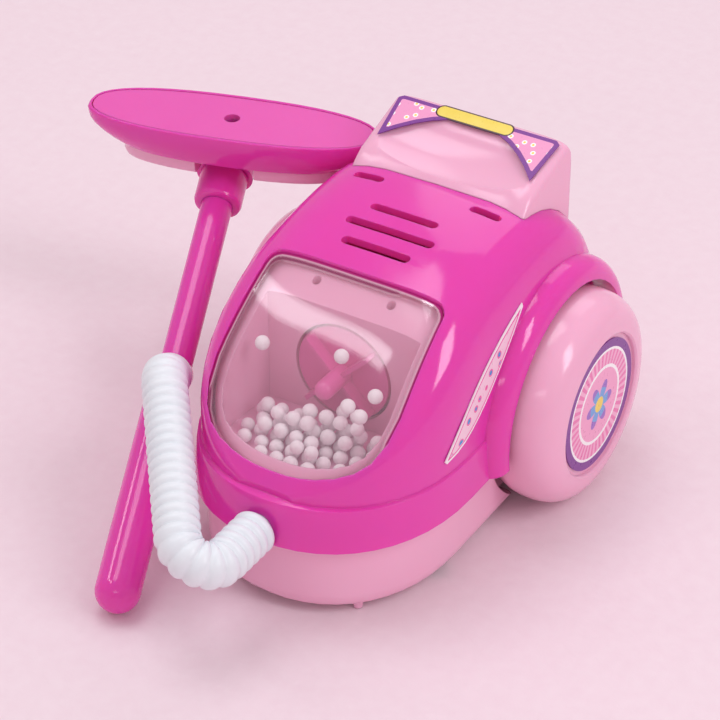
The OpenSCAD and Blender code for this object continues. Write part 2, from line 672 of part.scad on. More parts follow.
// Floor head, sole upwards: a dish, its sole plate, two pale covers and the swivel barrel
head_at = [-66.1, 6, 74];
head_turn = 16.5;
module in_head() {
    translate(head_at) rotate([0, 0, head_turn]) children();
}
head_power = 2.45;
dish_rings = [[-dish_h, 9], [-dish_h + 0.4, 8], [-7.6, 5.4], [-5.8, 2.9], [-4.2, 1.2], [-2.6, 0.25], [-0.6, 0], [0, 0.5]];
screw_sunk = 4.6;
dish_pull = 0.3;
barrel_r = 7.6;
barrel_z = wand_len + collar_l + 0.4;
module head_shell() {
    color(hot_pink) difference() {
        union() {
            in_head() skin([for (k = dish_rings)
                oval(head_half_l - k[1], head_half_w - k[1] * dish_pull, head_power, k[0])]);
            in_wand() translate([0, 0, barrel_z]) cylinder(r = barrel_r, h = pivot_l + 2);
            in_head() translate([-6.9, 1.2, -dish_h - 5]) cube([8, 6.4, 6]);
        }
        in_head() translate([0, 0, -1.6]) linear_extrude(4)
            polygon([for (p = oval(head_half_l - 1, head_half_w - 1, head_power, 0)) [p[0], p[1]]]);
        in_wand() translate([0, 0, barrel_z - 1]) cylinder(r = pivot_r + run_gap, h = pivot_l + 1.6);
        in_head() translate([0, 0, -screw_sunk]) cylinder(r = 2.1, h = 6);
        in_head() translate([0, 0, -screw_sunk - 3.8]) cylinder(r = 1.25, h = 10);
    }
}
module head_sole() {
    color(hot_pink) in_head() difference() {
        translate([0, 0, -1.58]) linear_extrude(1.5)
            polygon([for (p = oval(head_half_l - 1.3, head_half_w - 1.3, head_power, 0)) [p[0], p[1]]]);
        translate([0, 0, -3]) cylinder(r = 2.1, h = 4);
    }
}
module head_screw() {
    color(steel) in_head() {
        translate([0, 0, 0.02 - screw_sunk]) cylinder(r = 1.9, h = 0.7);
        translate([0, 0, -screw_sunk - 3.6]) cylinder(r = 1.2, h = 3.7);
    }
}
cover_h = 4.2;
module head_covers() {
    color(pale_pink) difference() {
        in_head() skin([for (k = [[-cover_h, 1.4], [-cover_h + 0.5, 0.5], [-cover_h + 1.6, 0], [-0.02, 0]])
            oval(head_half_l - 9.6 - k[1], head_half_w - 3.6 - k[1], head_power, k[0] - dish_h)]);
        in_head() translate([-8, -20, -dish_h - 10]) cube([16, 40, 12]);
        in_wand() translate([0, 0, wand_len - 5]) cylinder(r = barrel_r + thin, h = 40);
    }
}

// Ribbed hose: straight from the nose, round a tight bend, then up and over into the port
wand_dir = [cos(wand_rise) * cos(wand_heading), cos(wand_rise) * sin(wand_heading), sin(wand_rise)];
wand_up = [-sin(wand_rise) * cos(wand_heading), -sin(wand_rise) * sin(wand_heading), cos(wand_rise)];
wand_side = [sin(wand_heading), -cos(wand_heading), 0];
port_dir = cos(port_lean) * (cos(port_turn) * wand_up + sin(port_turn) * wand_side) - sin(port_lean) * wand_dir;
port_base = wand_foot + port_z * wand_dir;
hose_corners = [hose_start, [0, -115.3, hose_start[2]], port_base + 27 * port_dir, port_base + port_l * port_dir];
bend_r = [0, 6.5, 8.5];
bend_steps = 16;
function bend(p, r) = let (a = unit(p[1] - p[0]), b = unit(p[2] - p[1]), turn = acos(a * b),
    n = unit(b - (a * b) * a), s = p[1] - r * tan(turn / 2) * a)
    [for (k = [0 : bend_steps]) let (q = turn * k / bend_steps) s + r * sin(q) * a + r * (1 - cos(q)) * n];
fine = concat([hose_corners[0]],
    [for (i = [1, 2]) each bend([for (k = [-1 : 1]) hose_corners[i + k]], bend_r[i])], [hose_corners[3]]);
function sums(v, i = 0, s = 0) = i == len(v) ? [s] : concat([s], sums(v, i + 1, s + v[i]));
reach = sums([for (i = [1 : len(fine) - 1]) norm(fine[i] - fine[i - 1])]);
hose_len = reach[len(reach) - 1];
function on_hose(s) = [for (k = [0 : 2]) lookup(s, [for (i = [0 : len(fine) - 1]) [reach[i], fine[i][k]]])];
// Frame carried along the route without twist: the last side vector, squared to the new direction
function carried(dirs, side, i = 0) = i == len(dirs) ? []
    : let (s = unit(side - (side * dirs[i]) * dirs[i])) concat([s], carried(dirs, s, i + 1));
module hose() {
    ribs = floor(hose_len / rib_pitch);
    n = 2 * ribs;
    sides = hose_sides;
    root = hose_r - 0.7;
    at = [for (i = [0 : n]) on_hose(hose_len * i / n)];
    dirs = [for (i = [0 : n]) unit(on_hose(min(hose_len, hose_len * i / n + 0.4)) - on_hose(max(0, hose_len * i / n - 0.4)))];
    across = carried(dirs, [1, 0, 0]);
    function ring(i, r) = [for (k = [0 : sides - 1]) let (a = 360 * k / sides)
        at[i] + r * (cos(a) * across[i] + sin(a) * cross(dirs[i], across[i]))];
    outer = [for (i = [0 : n]) each ring(i, i % 2 == 0 ? root : hose_r)];
    inner = [for (i = [0 : n]) each ring(i, hose_bore / 2)];
    m = (n + 1) * sides;
    color(milk_white) polyhedron(concat(outer, inner), concat(
        [for (i = [0 : n - 1]) for (k = [0 : sides - 1]) let (j = (k + 1) % sides, a = i * sides) each [
            [a + k, a + sides + j, a + j], [a + k, a + sides + k, a + sides + j],
            [m + a + k, m + a + j, m + a + sides + j], [m + a + k, m + a + sides + j, m + a + sides + k]]],
        [for (e = [0, n]) for (k = [0 : sides - 1]) let (j = (k + 1) % sides, a = e * sides) each e == 0
            ? [[a + k, a + j, m + a + j], [a + k, m + a + j, m + a + k]]
            : [[a + k, m + a + j, a + j], [a + k, m + a + k, m + a + j]]]));
}

top_shell();
base_shell();
window();
dust_chamber();
foam_beads();
fan_wheel();
motor_shaft();
motor();
motor_bracket();
body_screws();
battery_door();
door_screw();
battery_cells();
battery_contacts();
switch_body();
switch_knob();
axle();
axle_bearings();
wheel_left();
wheel_right();
wheel_label_left();
wheel_label_right();
rear_handle();
handle_label();
side_label_left();
side_label_right();
hose_spigot();
hose();
wand_grip();
wand_tube();
hose_port();
wand_collar();
head_shell();
head_sole();
head_screw();
head_covers();
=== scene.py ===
# Toy vacuum cleaner in glossy pink plastic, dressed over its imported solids.
# The file goes from the view and the hose through the body, wheels and labels to the wand and floor head.
import math

import bmesh
import bpy
import numpy
from mathutils import Matrix, Vector


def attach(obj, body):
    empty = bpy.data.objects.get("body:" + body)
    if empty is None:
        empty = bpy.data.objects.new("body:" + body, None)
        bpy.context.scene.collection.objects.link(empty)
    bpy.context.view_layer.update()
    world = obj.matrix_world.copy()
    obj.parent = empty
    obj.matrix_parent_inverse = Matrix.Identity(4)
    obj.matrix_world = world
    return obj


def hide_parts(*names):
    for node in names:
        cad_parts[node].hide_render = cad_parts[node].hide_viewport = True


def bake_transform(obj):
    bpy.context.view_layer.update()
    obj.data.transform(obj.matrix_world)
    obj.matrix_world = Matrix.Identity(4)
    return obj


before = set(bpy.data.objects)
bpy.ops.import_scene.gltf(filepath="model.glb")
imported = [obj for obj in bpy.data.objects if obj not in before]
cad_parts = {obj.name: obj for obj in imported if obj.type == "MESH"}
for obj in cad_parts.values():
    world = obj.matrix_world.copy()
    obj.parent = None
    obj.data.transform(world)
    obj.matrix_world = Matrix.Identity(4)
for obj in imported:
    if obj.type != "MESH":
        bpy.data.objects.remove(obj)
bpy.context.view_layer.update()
scene = bpy.context.scene
scene.view_settings.view_transform = "Standard"

# View and light. The photograph looks down on the nose from the front, a little to one side.
# It was taken with a long lens. A pale floor, an even surround and cool softboxes stand for the bright room.
aim = Vector((-0.0051, -0.0293, 0.040))
look_right = Vector((0.8518, 0.5239, 0.0))
look_up = Vector((-0.2991, 0.4863, 0.8210))
look_back = Vector((0.4301, -0.6993, 0.5709))
eye_distance = 0.675
lens = bpy.data.cameras.new("photo_camera")
lens.sensor_width = 36
lens.lens = 135
lens.clip_start = 0.01
eye = bpy.data.objects.new("photo_camera", lens)
turn = Matrix((look_right, look_up, look_back)).transposed().to_4x4()
eye.matrix_world = Matrix.Translation(aim + eye_distance * look_back) @ turn
scene.collection.objects.link(eye)
scene.camera = eye


def linear(code):
    """An sRGB hex colour as linear red, green, blue and alpha."""
    parts = [int(code[i:i + 2], 16) / 255 for i in (1, 3, 5)]
    return tuple(p / 12.92 if p <= 0.04045 else ((p + 0.055) / 1.055) ** 2.4 for p in parts) + (1.0,)


def add(tree, kind, settings=None, inputs=None):
    """Add a node, set its properties or flat colour stops, and set or link its inputs."""
    node = tree.nodes.new(kind)
    for name, value in (settings or {}).items():
        if name == "stops":
            ramp = node.color_ramp
            ramp.interpolation = "CONSTANT"
            ramp.elements.remove(ramp.elements[1])
            ramp.elements[0].color = linear(value[0][1])
            for position, code in value[1:]:
                ramp.elements.new(position).color = linear(code)
        else:
            setattr(node, name, value)
    for name, value in (inputs or {}).items():
        if isinstance(value, bpy.types.NodeSocket):
            tree.links.new(value, node.inputs[name])
        else:
            node.inputs[name].default_value = value
    return node


# Each lamp has its place and size in metres, its power in watts and its roll in degrees.
lamp_tint = (0.94, 0.96, 1.0)
for lamp_name, place, size, power, roll in (
    ("key_softbox", (-0.30, 0.10, 1.25), (0.60, 0.60), 3.4, 0),
    ("pane_strip", (-0.65, -0.30, 0.94), (0.75, 0.10), 1.2, 39),
    ("side_softbox", (0.80, -0.10, 0.80), (0.28, 0.60), 3.5, 0),
    ("back_softbox", (-0.20, 0.90, 0.90), (0.70, 0.70), 1.7, 0),
    ("front_strip", (0.30, -0.90, 0.55), (0.50, 0.08), 0.4, 0),
):
    glow = bpy.data.lights.new(lamp_name, "AREA")
    glow.shape = "RECTANGLE"
    glow.size, glow.size_y = size
    glow.color = lamp_tint
    glow.energy = power
    lamp = bpy.data.objects.new(lamp_name, glow)
    lamp.location = place
    facing = (aim - Vector(place)).to_track_quat("-Z", "Y").to_matrix()
    lamp.rotation_euler = (facing @ Matrix.Rotation(math.radians(roll), 3, "Z")).to_euler()
    scene.collection.objects.link(lamp)

# A faint red lamp in the empty top of the body stands for light that soaks through its thin wall.
glow = bpy.data.lights.new("wall_glow", "POINT")
glow.shadow_soft_size = 0.002
glow.color = (1.0, 0.08, 0.22)
glow.energy = 0.0035
lamp = bpy.data.objects.new("wall_glow", glow)
lamp.location = (0, -0.018, 0.061)
scene.collection.objects.link(lamp)

room = bpy.data.worlds.new("pale_room")
room.use_nodes = True
room.node_tree.nodes["Background"].inputs["Color"].default_value = linear("#FFEEF1")
room.node_tree.nodes["Background"].inputs["Strength"].default_value = 0.57
scene.world = room

# Floor: short fleece in pale pink, matt, with a soft uneven nap a few millimetres across.
fleece = bpy.data.materials.new("pale_fleece")
fleece.use_nodes = True
tree = fleece.node_tree
where = add(tree, "ShaderNodeTexCoord").outputs["Object"]
nap = add(tree, "ShaderNodeTexNoise", None, {"Vector": where, "Scale": 1 / 0.004, "Detail": 6.0})
tint = add(tree, "ShaderNodeMix", {"data_type": "RGBA"},
           {0: nap.outputs["Fac"], 6: linear("#EDD9E1"), 7: linear("#F2E3E9")})
pile = add(tree, "ShaderNodeBump", None,
           {"Height": nap.outputs["Fac"], "Strength": 0.25, "Distance": 0.0008})
cloth = tree.nodes["Principled BSDF"]
cloth.inputs["Roughness"].default_value = 0.95
cloth.inputs["Specular IOR Level"].default_value = 0.1
tree.links.new(tint.outputs[2], cloth.inputs["Base Color"])
tree.links.new(pile.outputs["Normal"], cloth.inputs["Normal"])
floor_half = 3.0
floor_drop = 0.0002
floor_corners = [(x * floor_half, y * floor_half, -floor_drop)
                 for x, y in ((-1, -1), (1, -1), (1, 1), (-1, 1))]
sheet = bpy.data.meshes.new("floor")
sheet.from_pydata(floor_corners, [], [(0, 1, 2, 3)])
sheet.materials.append(fleece)
floor = bpy.data.objects.new("floor", sheet)
scene.collection.objects.link(floor)


# Hose: blown white vinyl with close round ribs, pushed over the nose spigot and the port on the wand.
# It runs straight out of the nose, turns tightly, rises beside the wand and drops into the port.
def soft_vinyl(name, tone, shade):
    """Soft white vinyl, blown into ribs: milky, satin, a little see-through, with fine flow marks."""
    material = bpy.data.materials.new(name)
    material.use_nodes = True
    tree = material.node_tree
    where = add(tree, "ShaderNodeTexCoord").outputs["Object"]
    milk = add(tree, "ShaderNodeTexNoise", None, {"Vector": where, "Scale": 1 / 0.009, "Detail": 3.0})
    colour = add(tree, "ShaderNodeMix", {"data_type": "RGBA"},
                 {0: milk.outputs["Fac"], 6: linear(tone), 7: linear(shade)})
    fine = add(tree, "ShaderNodeTexNoise", None, {"Vector": where, "Scale": 1 / 0.0007, "Detail": 2.0})
    satin = add(tree, "ShaderNodeMapRange", None,
                {"Value": fine.outputs["Fac"], "To Min": 0.30, "To Max": 0.42})
    grain = add(tree, "ShaderNodeBump", None,
                {"Height": fine.outputs["Fac"], "Strength": 0.08, "Distance": 0.0001})
    shader = tree.nodes["Principled BSDF"]
    shader.inputs["IOR"].default_value = 1.52
    shader.inputs["Subsurface Weight"].default_value = 0.15
    shader.inputs["Subsurface Radius"].default_value = (0.002, 0.0018, 0.0018)
    tree.links.new(colour.outputs[2], shader.inputs["Base Color"])
    tree.links.new(satin.outputs["Result"], shader.inputs["Roughness"])
    tree.links.new(grain.outputs["Normal"], shader.inputs["Normal"])
    return material


hose_vinyl = soft_vinyl("white_hose_vinyl", "#F0F6F9", "#E4EDF3")
rib_pitch = 0.0028
rib_height = 0.0008
rib_roundness = 0.75
root_radius = 0.00495
vinyl_wall = 0.0009
path_step = 0.00035
wall_sides = 40
bend_steps = 16
rise = math.radians(23.4)
heading = math.radians(110.2)
lean = math.radians(31.5)
twist = math.radians(10)
spigot_h = 0.0255
port_along = 0.062
port_turn = 0.027
port_seat = 0.0105
wand_foot = Vector((-0.0295, -0.1016, 0.0059))
wand_ahead = Vector((math.cos(heading), math.sin(heading), 0))
straight_up = Vector((0, 0, 1))
wand_dir = math.cos(rise) * wand_ahead + math.sin(rise) * straight_up
wand_up = math.cos(rise) * straight_up - math.sin(rise) * wand_ahead
wand_side = Vector((math.sin(heading), -math.cos(heading), 0))
port_lean = math.cos(twist) * wand_up + math.sin(twist) * wand_side
port_dir = math.cos(lean) * port_lean - math.sin(lean) * wand_dir
port_base = wand_foot + port_along * wand_dir
hose_corners = [Vector((0, -0.0846, spigot_h)), Vector((0, -0.1153, spigot_h)),
                port_base + port_turn * port_dir, port_base + port_seat * port_dir]
hose_path = [hose_corners[0]]
for corner, bend_r in ((1, 0.0065), (2, 0.0085)):
    before, here, after = hose_corners[corner - 1:corner + 2]
    a = (here - before).normalized()
    b = (after - here).normalized()
    angle = a.angle(b)
    inward = (b - a.dot(b) * a).normalized()
    start = here - bend_r * math.tan(angle / 2) * a
    for k in range(bend_steps + 1):
        q = angle * k / bend_steps
        hose_path.append(start + bend_r * math.sin(q) * a + bend_r * (1 - math.cos(q)) * inward)
hose_path.append(hose_corners[3])

line = bpy.data.curves.new("hose_line", "CURVE")
line.dimensions = "3D"
spline = line.splines.new("POLY")
spline.points.add(len(hose_path) - 1)
for point, place in zip(spline.points, hose_path):
    point.co = (*place, 1)
hose_curve = bpy.data.objects.new("hose_line", line)
scene.collection.objects.link(hose_curve)

rib_tree = bpy.data.node_groups.new("ribbed_hose", "GeometryNodeTree")
sockets = {}
for label, kind in (("Geometry", "NodeSocketGeometry"), ("Pitch", "NodeSocketFloat"),
                    ("Root radius", "NodeSocketFloat"), ("Rib height", "NodeSocketFloat")):
    socket = rib_tree.interface.new_socket(label, in_out="INPUT", socket_type=kind)
    sockets[label] = socket.identifier
rib_tree.interface.new_socket("Geometry", in_out="OUTPUT", socket_type="NodeSocketGeometry")
given = rib_tree.nodes.new("NodeGroupInput")
made = rib_tree.nodes.new("NodeGroupOutput")
steps = add(rib_tree, "GeometryNodeResampleCurve", {"mode": "LENGTH"},
            {"Curve": given.outputs["Geometry"], "Length": path_step})
along = add(rib_tree, "GeometryNodeSplineParameter").outputs["Length"]
turns = add(rib_tree, "ShaderNodeMath", {"operation": "DIVIDE"},
            {0: along, 1: given.outputs["Pitch"]}).outputs[0]
phase = add(rib_tree, "ShaderNodeMath", {"operation": "MULTIPLY"}, {0: turns, 1: math.pi}).outputs[0]
wave = add(rib_tree, "ShaderNodeMath", {"operation": "SINE"}, {0: phase}).outputs[0]
arc = add(rib_tree, "ShaderNodeMath", {"operation": "ABSOLUTE"}, {0: wave}).outputs[0]
soft = add(rib_tree, "ShaderNodeMath", {"operation": "POWER"}, {0: arc, 1: rib_roundness}).outputs[0]
rib = add(rib_tree, "ShaderNodeMath", {"operation": "MULTIPLY"},
          {0: soft, 1: given.outputs["Rib height"]}).outputs[0]
girth = add(rib_tree, "ShaderNodeMath", {"operation": "ADD"},
            {0: rib, 1: given.outputs["Root radius"]}).outputs[0]
sized = add(rib_tree, "GeometryNodeSetCurveRadius", None,
            {"Curve": steps.outputs["Curve"], "Radius": girth})
round_wall = add(rib_tree, "GeometryNodeCurvePrimitiveCircle", None,
                 {"Resolution": wall_sides, "Radius": 1.0})
tube = add(rib_tree, "GeometryNodeCurveToMesh", None,
           {"Curve": sized.outputs["Curve"], "Profile Curve": round_wall.outputs["Curve"]})
if "Scale" in tube.inputs:
    rib_tree.links.new(add(rib_tree, "GeometryNodeInputRadius").outputs[0], tube.inputs["Scale"])
smooth = add(rib_tree, "GeometryNodeSetShadeSmooth", None, {"Geometry": tube.outputs["Mesh"]})
whole = add(rib_tree, "GeometryNodeRealizeInstances", None, {"Geometry": smooth.outputs["Geometry"]})
coated = add(rib_tree, "GeometryNodeSetMaterial", None,
             {"Geometry": whole.outputs["Geometry"], "Material": hose_vinyl})
rib_tree.links.new(coated.outputs["Geometry"], made.inputs["Geometry"])
ribs = hose_curve.modifiers.new("ribs", "NODES")
ribs.node_group = rib_tree
ribs[sockets["Pitch"]] = rib_pitch
ribs[sockets["Root radius"]] = root_radius
ribs[sockets["Rib height"]] = rib_height
bpy.context.view_layer.update()
built = hose_curve.evaluated_get(bpy.context.evaluated_depsgraph_get())
hose_mesh = bpy.data.meshes.new_from_object(built)
bpy.data.objects.remove(hose_curve)
hose = bpy.data.objects.new("ribbed_hose", hose_mesh)
scene.collection.objects.link(hose)
skin = bmesh.new()
skin.from_mesh(hose.data)
bmesh.ops.recalc_face_normals(skin, faces=skin.faces)
skin.to_mesh(hose.data)
skin.free()
bore = hose.modifiers.new("hose_wall", "SOLIDIFY")
bore.thickness = vinyl_wall
bore.offset = -1
built = hose.evaluated_get(bpy.context.evaluated_depsgraph_get())
hose.data = bpy.data.meshes.new_from_object(built)
hose.modifiers.clear()
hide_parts("hose")
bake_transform(hose)


# Top shell: the glossy hot pink cover, moulded in one piece with the fenders, slots and window opening.
# The copies below weld a solid's loose triangles and shade it smooth, as a polished mould leaves it.
def moulded_abs(name, tone, shade, gloss, glow=0.0):
    """Moulded ABS: faint flow clouds, a hard gloss skin, soft edges and a red glow through the wall."""
    material = bpy.data.materials.new(name)
    material.use_nodes = True
    tree = material.node_tree
    where = add(tree, "ShaderNodeTexCoord").outputs["Object"]
    flow = add(tree, "ShaderNodeTexNoise", None, {"Vector": where, "Scale": 1 / 0.022, "Detail": 3.0})
    colour = add(tree, "ShaderNodeMix", {"data_type": "RGBA"},
                 {0: flow.outputs["Fac"], 6: linear(tone), 7: linear(shade)})
    # Orange peel of about 1.5 mm, drawn coarser than the real skin so that it shows in the render
    peel = add(tree, "ShaderNodeTexNoise", None, {"Vector": where, "Scale": 1 / 0.0015, "Detail": 2.0})
    shine = add(tree, "ShaderNodeMapRange", None,
                {"Value": peel.outputs["Fac"], "To Min": gloss - 0.04, "To Max": gloss + 0.05})
    edge = add(tree, "ShaderNodeBevel", {"samples": 4}, {"Radius": 0.00035})
    bump = add(tree, "ShaderNodeBump", None, {
        "Height": peel.outputs["Fac"], "Strength": 0.03, "Distance": 0.00005,
        "Normal": edge.outputs["Normal"]})
    shader = tree.nodes["Principled BSDF"]
    shader.inputs["IOR"].default_value = 1.53
    shader.inputs["Subsurface Weight"].default_value = glow
    shader.inputs["Subsurface Scale"].default_value = 0.003
    shader.inputs["Subsurface Radius"].default_value = (1.0, 0.25, 0.4)
    tree.links.new(colour.outputs[2], shader.inputs["Base Color"])
    tree.links.new(shine.outputs["Result"], shader.inputs["Roughness"])
    tree.links.new(bump.outputs["Normal"], shader.inputs["Normal"])
    return material


def moulding(node, body, material, crease=30):
    """A welded, smooth copy of a solid, which stands for it and rides on its body."""
    weld = 0.000004
    loose = bmesh.new()
    loose.from_mesh(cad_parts[node].data)
    bmesh.ops.remove_doubles(loose, verts=loose.verts, dist=weld)
    bmesh.ops.dissolve_degenerate(loose, edges=loose.edges, dist=weld)
    loose.verts.index_update()
    points = [v.co[:] for v in loose.verts]
    faces = [[v.index for v in f.verts] for f in loose.faces]
    welded = bpy.data.meshes.new(node + "_moulding")
    welded.from_pydata(points, [], faces)
    loose.free()
    welded.shade_smooth()
    welded.set_sharp_from_angle(angle=math.radians(crease))
    welded.materials.append(material)
    piece = bpy.data.objects.new(node + "_moulding", welded)
    scene.collection.objects.link(piece)
    even = piece.modifiers.new("even_normals", "WEIGHTED_NORMAL")
    even.keep_sharp = True
    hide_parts(node)
    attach(piece, body)
    return piece


hot_pink = moulded_abs("hot_pink_abs", "#EA46B5", "#E53EAE", 0.09, 0.5)
pale_pink = moulded_abs("pale_pink_abs", "#F6BAD6", "#F4B3D0", 0.15, 0.1)
moulding("top_shell", "body", hot_pink)

# Base: the pale pink lower tray, with the battery door, its screw, the body screws and the feet under it.
moulding("base_shell", "body", pale_pink)
moulding("battery_door", "body", pale_pink)


# Metal: turned and plated steel for shafts, screws and contacts, with a fine uneven sheen.
def plated_steel(name, tone, rough):
    """Nickel-plated steel: bright, with a sheen that varies over about 0.3 mm."""
    material = bpy.data.materials.new(name)
    material.use_nodes = True
    tree = material.node_tree
    where = add(tree, "ShaderNodeTexCoord").outputs["Object"]
    fine = add(tree, "ShaderNodeTexNoise", None, {"Vector": where, "Scale": 1 / 0.0003, "Detail": 2.0})
    sheen = add(tree, "ShaderNodeMapRange", None,
                {"Value": fine.outputs["Fac"], "To Min": rough - 0.08, "To Max": rough + 0.1})
    shader = tree.nodes["Principled BSDF"]
    shader.inputs["Base Color"].default_value = linear(tone)
    shader.inputs["Metallic"].default_value = 1.0
    tree.links.new(sheen.outputs["Result"], shader.inputs["Roughness"])
    return material


def finish(node, material):
    """Give a solid whose shape is right its own material."""
    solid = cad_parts[node]
    solid.data.materials.clear()
    solid.data.materials.append(material)


steel = plated_steel("plated_steel", "#C9CACD", 0.28)
tin_can = plated_steel("motor_can_steel", "#AEB0B4", 0.36)
for node in ("body_screws", "door_screw", "axle", "motor_shaft", "battery_contacts"):
    finish(node, steel)
finish("motor", tin_can)
# The floor head's screw gets a dark tone: painted shade for the deep hole it sits in.
finish("head_screw", plated_steel("dark_screw_steel", "#4A3C46", 0.4))
for node in ("motor_bracket", "axle_bearings"):
    finish(node, pale_pink)

# Cells and switch: two wrapped dry cells in the tray, and a black slide switch under the tail.
cell_wrap = moulded_abs("cell_wrap_film", "#5A3B8C", "#50347E", 0.3)
black_abs = moulded_abs("black_switch_abs", "#26262A", "#1E1E22", 0.42)
finish("battery_cells", cell_wrap)
finish("switch_body", black_abs)
finish("switch_knob", black_abs)

# Dust chamber: a pale pink tub behind the window, with the fan and the white foam beads that it stirs.
fan_pink = moulded_abs("fan_pink_abs", "#E765AC", "#E05CA4", 0.3)
moulding("dust_chamber", "body", pale_pink)
moulding("fan_wheel", "fan", fan_pink)
foam = bpy.data.materials.new("white_bead_foam")
foam.use_nodes = True
tree = foam.node_tree
where = add(tree, "ShaderNodeTexCoord").outputs["Object"]
# Polystyrene cells of about 0.4 mm, seen as soft dimples
cells = add(tree, "ShaderNodeTexVoronoi", None, {"Vector": where, "Scale": 1 / 0.0004})
dimple = add(tree, "ShaderNodeBump", None,
             {"Height": cells.outputs["Distance"], "Strength": 0.2, "Distance": 0.0001})
bead_tone = add(tree, "ShaderNodeMix", {"data_type": "RGBA"},
                {0: cells.outputs["Distance"], 6: linear("#F7F4F6"), 7: linear("#FFFFFF")})
shader = tree.nodes["Principled BSDF"]
shader.inputs["Roughness"].default_value = 0.7
shader.inputs["Subsurface Weight"].default_value = 0.2
shader.inputs["Subsurface Radius"].default_value = (0.001, 0.001, 0.001)
tree.links.new(bead_tone.outputs[2], shader.inputs["Base Color"])
tree.links.new(dimple.outputs["Normal"], shader.inputs["Normal"])
moulding("foam_beads", "body", foam, 60)


# Window: clear styrene snapped over the chamber, with a faint pink veil and a hard gloss.
# Near its edge, where the pane sits against the shell, the veil thickens to a deep pink line of painted
# shade.
def edge_distance(film, cuts):
    """Divide a thin piece's faces and store each point's distance from its sharp edge, in millimetres."""
    sharp = 1.0
    fine = bmesh.new()
    fine.from_mesh(film.data)
    rim = [(e.verts[0].co.copy(), e.verts[1].co.copy()) for e in fine.edges if e.calc_face_angle(0) > sharp]
    bmesh.ops.subdivide_edges(fine, edges=fine.edges, cuts=cuts, use_grid_fill=True)
    fine.to_mesh(film.data)
    fine.free()
    stored = film.data.attributes.new("from_edge", "FLOAT", "POINT")
    for v in film.data.vertices:
        nearest = math.inf
        for p, q in rim:
            run = q - p
            t = min(1, max(0, (v.co - p).dot(run) / max(run.length_squared, 1e-12)))
            nearest = min(nearest, (p + t * run - v.co).length)
        stored.data[v.index].value = nearest * 1000


clear = bpy.data.materials.new("clear_styrene")
clear.use_nodes = True
tree = clear.node_tree
where = add(tree, "ShaderNodeTexCoord").outputs["Object"]
haze = add(tree, "ShaderNodeTexNoise", None, {"Vector": where, "Scale": 1 / 0.012, "Detail": 2.0})
polish = add(tree, "ShaderNodeMapRange", None,
             {"Value": haze.outputs["Fac"], "To Min": 0.03, "To Max": 0.07})
shader = tree.nodes["Principled BSDF"]
edge_mm = add(tree, "ShaderNodeAttribute", {"attribute_name": "from_edge"}).outputs["Fac"]
# Painted shade: the pane's last millimetre turns nearly opaque deep pink, standing for the shell's shaded
# opening wall.
veil_and_rim_shade_alpha = add(tree, "ShaderNodeMapRange", {"interpolation_type": "SMOOTHSTEP"},
           {"Value": edge_mm, "From Min": 0.45, "From Max": 1.4, "To Min": 0.9, "To Max": 0.12})
rim_shade_fade = add(tree, "ShaderNodeMapRange", {"interpolation_type": "SMOOTHSTEP"},
           {"Value": edge_mm, "From Min": 0.35, "From Max": 0.85})
veil_and_rim_shade = add(tree, "ShaderNodeMix", {"data_type": "RGBA"},
               {0: rim_shade_fade.outputs["Result"], 6: linear("#B02A78"), 7: linear("#F6BFD8")})
tree.links.new(veil_and_rim_shade_alpha.outputs["Result"], shader.inputs["Alpha"])
tree.links.new(veil_and_rim_shade.outputs[2], shader.inputs["Base Color"])
shader.inputs["IOR"].default_value = 2.3
tree.links.new(rim_shade_fade.outputs["Result"], shader.inputs["Specular IOR Level"])
tree.links.new(polish.outputs["Result"], shader.inputs["Roughness"])
pane = moulding("window", "body", clear, 40)
edge_distance(pane, 1)
# The solid's rows crowd together at its edges, so the shading follows a smooth surface fitted to its points.
pane.modifiers.clear()
fit_scale = 0.025
fit_order = 6
side_slope = 0.3
corners = pane.data.vertices
upper = {k for face in pane.data.polygons if face.normal.z > side_slope for k in face.vertices}
spots = numpy.array([corners[k].co[:] for k in sorted(upper)])
middle = spots.mean(axis=0)
powers = [(i, j) for i in range(fit_order + 1) for j in range(fit_order + 1 - i)]
u, v = ((spots - middle)[:, :2] / fit_scale).T
terms = numpy.stack([u ** i * v ** j for i, j in powers], 1)
fit = numpy.linalg.lstsq(terms, spots[:, 2] / fit_scale, rcond=None)[0]
shading = []
for face in pane.data.polygons:
    outward = 1 if face.normal.z > 0 else -1
    for k in face.vertices:
        u, v = (numpy.array(corners[k].co[:]) - middle)[:2] / fit_scale
        slope_u = sum(c * i * u ** max(i - 1, 0) * v ** j for c, (i, j) in zip(fit, powers))
        slope_v = sum(c * j * u ** i * v ** max(j - 1, 0) for c, (i, j) in zip(fit, powers))
        fitted = outward * Vector((-slope_u, -slope_v, 1)).normalized()
        shading.append(fitted if abs(face.normal.z) > side_slope else face.normal.copy())
pane.data.normals_split_custom_set(shading)

# Handle block: the pale pink hump behind the shell, with a finger scoop and a label on its sloping top.
moulding("rear_handle", "body", pale_pink, 26)


# Labels: printed and laminated film. The designs are plain rings, rays, petals, dots and outlines,
# laid out in millimetres.
def printed_film(name):
    """Flat ink under a smooth clear face. Gives the material, its tree and the place in millimetres."""
    material = bpy.data.materials.new(name)
    material.use_nodes = True
    tree = material.node_tree
    shader = tree.nodes["Principled BSDF"]
    shader.inputs["IOR"].default_value = 1.5
    where = add(tree, "ShaderNodeTexCoord").outputs["Object"]
    fine = add(tree, "ShaderNodeTexNoise", None, {"Vector": where, "Scale": 1 / 0.001, "Detail": 2.0})
    face = add(tree, "ShaderNodeMapRange", None,
               {"Value": fine.outputs["Fac"], "To Min": 0.24, "To Max": 0.34})
    tree.links.new(face.outputs["Result"], shader.inputs["Roughness"])
    in_mm = add(tree, "ShaderNodeVectorMath", {"operation": "SCALE"}, {0: where, "Scale": 1000.0})
    return material, tree, in_mm.outputs[0]


